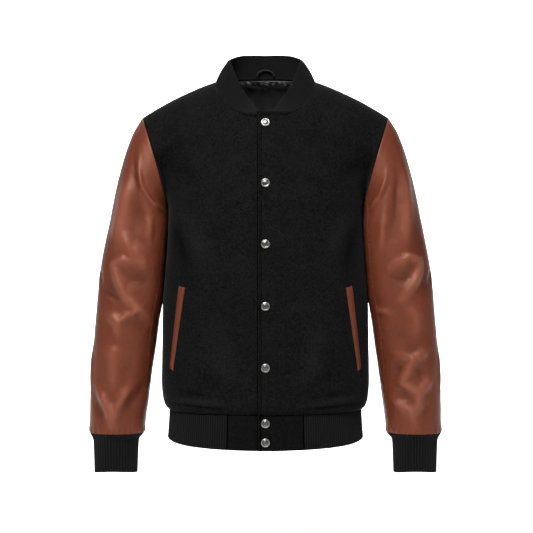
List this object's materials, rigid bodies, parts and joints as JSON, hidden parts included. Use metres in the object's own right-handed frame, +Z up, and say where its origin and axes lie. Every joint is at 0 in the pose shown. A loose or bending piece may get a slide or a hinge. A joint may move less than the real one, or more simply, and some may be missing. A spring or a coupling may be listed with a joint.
{
  "type": "varsity jacket",
  "caption": "Snap-front varsity jacket with a wool body, leather sleeves and pocket welts, and rib-knit collar, cuffs and waistband, filled out as worn.",
  "frame": {"origin": "midway between the high shoulder points, at the foot of the collar, where the wearer's shoulders carry the jacket", "axes": "+Z up, -Y towards the front of the jacket, +X towards the wearer's left"},
  "size_m": [0.6198, 0.2611, 0.7468],
  "materials": {
    "wool_shell": "black melton wool, napped, matte",
    "leather": "brown smooth-grain leather, soft gloss",
    "rib_knit": "black rib knit, matte",
    "satin_lining": "black satin, glossy",
    "snap_metal": "antique silver, brushed"
  },
  "bodies": {
    "root": {"back": "wool_shell", "front_left": "wool_shell", "front_right": "wool_shell", "sleeve_upper_left": "leather", "sleeve_upper_right": "leather", "sleeve_under_left": "leather", "sleeve_under_right": "leather", "pocket_welt_left": "leather", "pocket_welt_right": "leather", "collar": "rib_knit", "cuff_left": "rib_knit", "cuff_right": "rib_knit", "waistband_rib": "rib_knit", "waistband_tab_left": "wool_shell", "waistband_tab_right": "wool_shell", "lining_back": "satin_lining", "hanger_loop": "satin_lining", "snap_cap_1": "snap_metal", "snap_cap_2": "snap_metal", "snap_cap_3": "snap_metal", "snap_cap_4": "snap_metal", "snap_cap_5": "snap_metal", "snap_cap_6": "snap_metal", "snap_cap_7": "snap_metal"}
  },
  "joints": []
}
